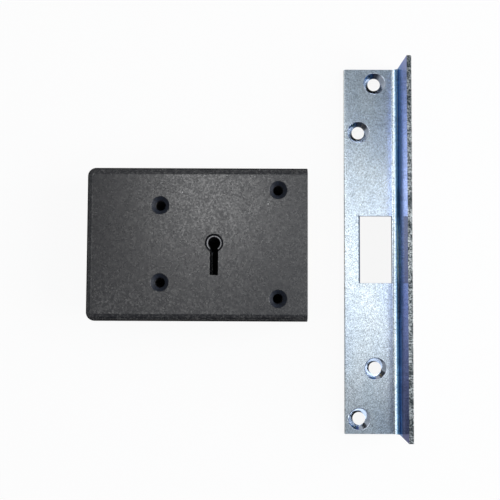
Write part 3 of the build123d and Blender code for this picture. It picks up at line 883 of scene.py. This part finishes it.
def makeSweepTree():
    # the section swept along Y, its sheared edges torn back a little
    inputs = {name: "Float" for name in ("Length", "Top", "Tear", "Grain")}
    inputs.update({"Stations": "Int", "Finish": "Material"})
    tree, given, result = startTree("sweptAngle", inputs)
    link = tree.links.new
    section = addNode(tree, "GeometryNodeMeshToCurve")
    half = mathNode(tree, "MULTIPLY", given.outputs["Length"], 0.5)
    minus = mathNode(tree, "MULTIPLY", given.outputs["Length"], -0.5)
    start, end = (addNode(tree, "ShaderNodeCombineXYZ") for _ in range(2))
    link(half, start.inputs["Y"])
    link(minus, end.inputs["Y"])
    path = addNode(tree, "GeometryNodeCurvePrimitiveLine")
    link(start.outputs[0], path.inputs["Start"])
    link(end.outputs[0], path.inputs["End"])
    stations = addNode(tree, "GeometryNodeResampleCurve")
    link(path.outputs[0], stations.inputs["Curve"])
    link(given.outputs["Stations"], stations.inputs["Count"])
    upright = addNode(tree, "GeometryNodeSetCurveNormal", mode="Z_UP")
    link(stations.outputs[0], upright.inputs["Curve"])
    swept = addNode(tree, "GeometryNodeCurveToMesh", {"Fill Caps": True})
    link(given.outputs["Geometry"], section.inputs["Mesh"])
    link(upright.outputs[0], swept.inputs["Curve"])
    link(section.outputs[0], swept.inputs["Profile Curve"])
    place = addNode(tree, "GeometryNodeInputPosition")
    parts = addNode(tree, "ShaderNodeSeparateXYZ")
    link(place.outputs[0], parts.inputs[0])
    top = mathNode(tree, "SUBTRACT", given.outputs["Top"], hair)
    onTop = mathNode(tree, "GREATER_THAN", parts.outputs["Z"], top)
    onSide = mathNode(tree, "LESS_THAN", parts.outputs["X"], hair)
    onEdge = mathNode(tree, "MAXIMUM", onTop, onSide)
    ripple = addNode(tree, "ShaderNodeTexNoise", {"Detail": 3.0, "Roughness": 0.6})
    link(given.outputs["Grain"], ripple.inputs["Scale"])
    depth = product(tree, ripple.outputs[0], onEdge, given.outputs["Tear"])
    normal = addNode(tree, "GeometryNodeInputNormal")
    inward = addNode(tree, "ShaderNodeVectorMath", operation="SCALE")
    link(normal.outputs[0], inward.inputs[0])
    link(mathNode(tree, "MULTIPLY", depth, -1.0), inward.inputs["Scale"])
    moved = addNode(tree, "GeometryNodeSetPosition")
    link(swept.outputs[0], moved.inputs["Geometry"])
    link(inward.outputs[0], moved.inputs["Offset"])
    real = addNode(tree, "GeometryNodeRealizeInstances")
    painted = addNode(tree, "GeometryNodeSetMaterial")
    link(moved.outputs[0], real.inputs[0])
    link(real.outputs[0], painted.inputs["Geometry"])
    link(given.outputs["Finish"], painted.inputs["Material"])
    link(painted.outputs[0], result.inputs[0])
    return tree


def sweepStrike(settings):
    low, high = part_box("strike_plate")
    section = strikeSection(settings)
    start = bpy.data.meshes.new("strike_section")
    around = [(i, (i + 1) % len(section)) for i in range(len(section))]
    start.from_pydata([(-x, -z, 0) for x, z in section], around, [])  # the sweep turns it half round
    stationCount = round(settings["length"] / settings["station"])
    values = {"Length": settings["length"], "Stations": stationCount, "Top": settings["height"]}
    values.update({"Tear": settings["tear"], "Grain": settings["tearGrain"]})
    values["Finish"] = finishes["strikeZinc"]
    swept = runTree("strike_swept", start, makeSweepTree(), values)
    swept.transform(Matrix.Translation((low.x, middleOf(low, high), 0)))
    faceOutward(swept)
    return swept


def drillShape(settings):
    # hole and countersink, with a rounded lip where the countersink meets the face
    hole, sink, sheet, lip = (settings[key] for key in ("holeRadius", "sinkRadius", "sheet", "sinkLip"))
    profile = [(0, -mm), (hole, -mm), (hole, settings["coneFrom"])]
    profile += [(sink - 0.7 * lip, sheet - lip), (sink, sheet - 0.45 * lip)]
    profile += [(sink + 0.6 * lip, sheet - 0.1 * lip), (sink + lip, sheet + 0.02 * lip)]
    profile += [(sink + 3 * lip, sheet + 0.2 * lip), (sink + mm, sheet + mm), (0, sheet + mm)]
    return lathe("strike_drill", profile, settings["drillFacets"])


def punchShape(settings):
    # the bolt's opening: its side away from the flange is drawn in round, the others have a small lip
    sheet, lip, roll, steps = (settings[key] for key in ("sheet", "lip", "roll", "edgeSteps"))
    heights = [(-mm, 5 * lip, 5 * lip), (-lip, 2 * lip, 2 * lip), (lip, 0, 0), (sheet - roll, 0, 0)]
    for step in range(1, steps + 1):
        a = math.pi / 2 * step / steps
        z = sheet - roll + roll * math.sin(a)
        heights.append((z - hair, roll - roll * math.cos(a), max(0.0, z - sheet + lip)))
    heights.append((sheet + 3 * mm, roll + mm, 3 * lip))
    near, far = openingCorners(settings)
    layers = []
    for z, leftGrow, grow in heights:
        x0, x1 = near.x - leftGrow, far.x + grow
        y0, y1 = near.y - grow, far.y + grow
        layers.append([(x0, y0, z), (x1, y0, z), (x1, y1, z), (x0, y1, z)])
    return loftLayers("strike_punch", layers)


def paintStrike(faces, settings, centres):
    low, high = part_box("strike_plate")
    top, side, end = settings["shearedSkin"]
    steep, flat = settings["sinkSlopes"]
    reach = settings["sinkRadius"] + settings["sinkLip"]
    for face in faces:
        turned = fromNearest(face, centres) < reach and steep < face.normal.z < flat
        sheared = face.center.z > high.z - top or face.center.x < low.x + side
        sheared = sheared or abs(face.center.y - middleOf(low, high)) > settings["length"] / 2 - end
        face.material_index = 1 if sheared else 2 if turned else 0


def makeStrike(settings):
    centres = holeCentres(settings)
    drills = []
    for x, y in centres:
        drills.append(drillShape(settings))
        drills[-1].transform(Matrix.Translation((x, y, 0)))
    drilled = cutAway("strike_drilled", sweepStrike(settings), drills)
    punched = cutAway("strike_cut", drilled, [punchShape(settings)])
    shaded = shadeByArea("strikePlate", punched)
    plating = [finishes["strikeZinc"], finishes["shearedZinc"], finishes["sinkZinc"]]
    piece = finishPiece("strikePlate", shaded, "lock_case", ["strike_plate"], plating)
    paintStrike(piece.data.polygons, settings, centres)
    print("strike swept, drilled and punched:", len(piece.data.polygons), "faces")


makeStrike(strike)

# CAD pieces that only get a finish
kept = {
    "cap_posts": "plainSteel",
    "lever_stop": "plainSteel",
    "bolt_rivets": "plainSteel",
}
for number in range(1, 6):
    kept[f"lever_spring_{number}"] = "springSteel"
for nodeName, finish in kept.items():
    cadMesh = frame["nodes"][nodeName].data
    cadMesh.materials.clear()
    cadMesh.materials.append(finishes[finish])
print("other CAD pieces painted")


floorSettings = {
    "size": 6.0,
    "drop": 0.2 * mm,
    "shadow": 0.08,
    "colour": 0.85,
    # painted shadow: the floor's colour under the case and the strike, and in the painted shade that
    # reflections see
    "paintedShadowColour": 0.01,
    "shade": (0.11, 0.50),  # painted shade in reflections: away from the case, in metres, the floor grows from dark to white
    "beside": 18 * mm,
    # painted light: how bright reflections see the floor beside the strike and in its opening
    "paintedGlowBeside": 0.42,
}


def distanceFrom(tree, place, low, high):
    # how far a place lies outside a box, seen from above; less than nought inside it
    furthest = -1.0
    for axis, lowest, highest in (("X", low.x, high.x), ("Y", low.y, high.y)):
        offset = mathNode(tree, "SUBTRACT", place.outputs[axis], (lowest + highest) / 2)
        beyond = mathNode(tree, "SUBTRACT", mathNode(tree, "ABSOLUTE", offset), (highest - lowest) / 2)
        furthest = mathNode(tree, "MAXIMUM", beyond, furthest)
    return furthest


def makeFloor(settings):
    # white to the camera and in reflections, with the object's faint shadow. Reflections see painted shade
    # on it close to the case, and painted light close to the strike and in its opening; under both pieces it
    # is painted dark as shadow
    material = bpy.data.materials.new("paleFloor")
    material.use_nodes = True
    tree = material.node_tree
    tree.nodes.clear()
    link = tree.links.new
    ray = addNode(tree, "ShaderNodeLightPath")
    reflected = mathNode(tree, "MAXIMUM", ray.outputs["Is Glossy Ray"], ray.outputs["Is Transmission Ray"])
    place = addNode(tree, "ShaderNodeSeparateXYZ")
    link(objectPlace(tree), place.inputs["Vector"])
    fromCase = distanceFrom(tree, place, *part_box("case_shell"))
    fromStrike = distanceFrom(tree, place, *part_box("strike_plate"))
    fromOpening = distanceFrom(tree, place, *openingCorners(strike))
    inOpening = mathNode(tree, "LESS_THAN", fromOpening, 0.0)
    offCase = mathNode(tree, "GREATER_THAN", fromCase, -mm)
    offStrike = mathNode(tree, "GREATER_THAN", fromStrike, -mm)
    # painted shade: reflections see the floor dark close to the case
    near, far = settings["shade"]
    paintedLight = mathNode(tree, "DIVIDE", mathNode(tree, "SUBTRACT", fromCase, near), far - near, clamp=True)
    # painted light on the floor beside the strike and in its opening
    besideStrike = mathNode(tree, "LESS_THAN", fromStrike, settings["beside"])
    paintedLight = mathNode(tree, "MAXIMUM", paintedLight, product(tree, besideStrike, settings["paintedGlowBeside"]))
    paintedGlowInOpening = product(tree, inOpening, settings["paintedGlowBeside"])
    paintedLight = mathNode(tree, "MAXIMUM", product(tree, paintedLight, offStrike), paintedGlowInOpening)
    seen = mathNode(tree, "MAXIMUM", ray.outputs["Is Camera Ray"], product(tree, reflected, paintedLight))
    glowing = product(tree, seen, offCase, 1 - settings["shadow"])
    # painted shade for reflections, and painted shadow under both pieces
    paintedShade = product(tree, reflected, mathNode(tree, "SUBTRACT", 1.0, paintedLight))
    clearOfPaintedShade = product(tree, offCase, offStrike, mathNode(tree, "SUBTRACT", 1.0, paintedShade))
    ground = mixColour(tree, clearOfPaintedShade, grey(settings["paintedShadowColour"]), grey(settings["colour"]))
    diffuse = addNode(tree, "ShaderNodeBsdfDiffuse")
    link(ground, diffuse.inputs["Color"])
    glow = addNode(tree, "ShaderNodeEmission", {"Color": (1, 1, 1, 1), "Strength": 1.0})
    both = addNode(tree, "ShaderNodeMixShader")
    out = addNode(tree, "ShaderNodeOutputMaterial")
    for number, source in enumerate((glowing, diffuse.outputs[0], glow.outputs[0])):
        link(source, both.inputs[number])
    link(both.outputs[0], out.inputs["Surface"])
    half = settings["size"] / 2
    level = -settings["drop"]
    corners = [(-half, -half, level), (half, -half, level), (half, half, level), (-half, half, level)]
    mesh = bpy.data.meshes.new("floor")
    mesh.from_pydata(corners, [], [(0, 1, 2, 3)])
    mesh.materials.append(material)
    floor = linkPiece("floor", mesh)


makeFloor(floorSettings)

# Size in metres, power in watts
lamps = {
    "rightBox": {
        "place": (0.265, 0.005, 1.0), "aim": (0.265, 0.005, 0), "size": (0.19, 0.37), "power": 0.65,
    },
    "leftBox": {"place": (-0.045, 0.17, 1.0), "aim": (-0.045, 0.17, 0), "size": (0.20, 0.24), "power": 0.87},
    "lowBox": {"place": (-0.12, -0.08, 1.0), "aim": (-0.12, -0.08, 0), "size": (0.34, 0.12), "power": 0.25},
    "leftTube": {"place": (-0.60, 0.10, 0.95), "aim": (0, 0, 0), "size": (1.00, 0.26), "power": 1.25},
    "rightWindow": {"place": (1.15, -0.05, 0.62), "aim": (0, 0, 0), "size": (1.2, 0.9), "power": 16.0},
}


def makeLamp(name, settings):
    light = bpy.data.lights.new(name, "AREA")
    light.shape = "RECTANGLE"
    light.size, light.size_y = settings["size"]
    light.energy = settings["power"]
    lamp = bpy.data.objects.new(name, light)
    lamp.location = settings["place"]
    aim = Vector(settings["aim"]) - lamp.location
    lamp.rotation_euler = aim.to_track_quat("-Z", "Y").to_euler()
    bpy.context.scene.collection.objects.link(lamp)


for name, settings in lamps.items():
    makeLamp(name, settings)

skySettings = {
    "overhead": [
        (0.40, (0.035, 0.040, 0.050)),
        (0.48, (0.050, 0.058, 0.072)),
        (0.57, (0.12, 0.18, 0.25)),
        (1.0, (0.16, 0.20, 0.25)),
    ],
    "around": [
        (0.05, (0.03, 0.035, 0.045)),
        (0.16, (0.34, 0.35, 0.37)),
        (0.50, (0.30, 0.32, 0.34)),
        (0.74, (0.46, 0.47, 0.49)),
        (1.0, (0.42, 0.43, 0.45)),
    ],
    "meet": (0.80, 0.93),
}


def makeSky(settings):
    # overhead it grows paler from left to right, low down it is dark only at the very front;
    # white where the camera looks past the floor
    world = bpy.data.worlds.new("studio")
    bpy.context.scene.world = world
    world.use_nodes = True
    tree = world.node_tree
    tree.nodes.clear()
    link = tree.links.new
    direction = addNode(tree, "ShaderNodeTexCoord")
    parts = addNode(tree, "ShaderNodeSeparateXYZ")
    link(direction.outputs["Generated"], parts.inputs["Vector"])
    across, along = (mathNode(tree, "ADD", product(tree, parts.outputs[axis], 0.5), 0.5) for axis in "XY")
    upper = fade(tree, parts.outputs["Z"], settings["meet"], (0, 1))
    overhead, around = ramp(tree, across, settings["overhead"]), ramp(tree, along, settings["around"])
    sky = mixColour(tree, upper, around, overhead)
    ray = addNode(tree, "ShaderNodeLightPath")
    shown = mixColour(tree, ray.outputs["Is Camera Ray"], sky, (1.0, 1.0, 1.0))
    background = addNode(tree, "ShaderNodeBackground", {"Strength": 1.0})
    out = addNode(tree, "ShaderNodeOutputWorld")
    link(shown, background.inputs["Color"])
    link(background.outputs[0], out.inputs["Surface"])


makeSky(skySettings)

# Fitted to corners of both pieces in the photograph; focal and frame in pixels, sensor in millimetres
cameraSettings = {
    "place": (28.917 * mm, -23.127 * mm, 408.065 * mm),
    "turn": (0.05313, 0.00315, 0.00425),
    "focal": 733.006,
    "frame": 500,
    "sensor": 36.0,
    "clip": (0.01, 20.0),
}


def makeCamera(settings):
    data = bpy.data.cameras.new("photographer")
    data.sensor_width = settings["sensor"]
    data.lens = settings["focal"] * settings["sensor"] / settings["frame"]
    data.clip_start, data.clip_end = settings["clip"]
    camera = bpy.data.objects.new("photographer", data)
    turnX, turnY, turnZ = (Matrix.Rotation(angle, 4, axis) for angle, axis in zip(settings["turn"], "XYZ"))
    camera.matrix_world = Matrix.Translation(settings["place"]) @ turnZ @ turnX @ turnY
    bpy.context.scene.collection.objects.link(camera)
    bpy.context.scene.camera = camera


makeCamera(cameraSettings)
bpy.context.scene.view_settings.view_transform = "Standard"
print("floor, light and camera placed")
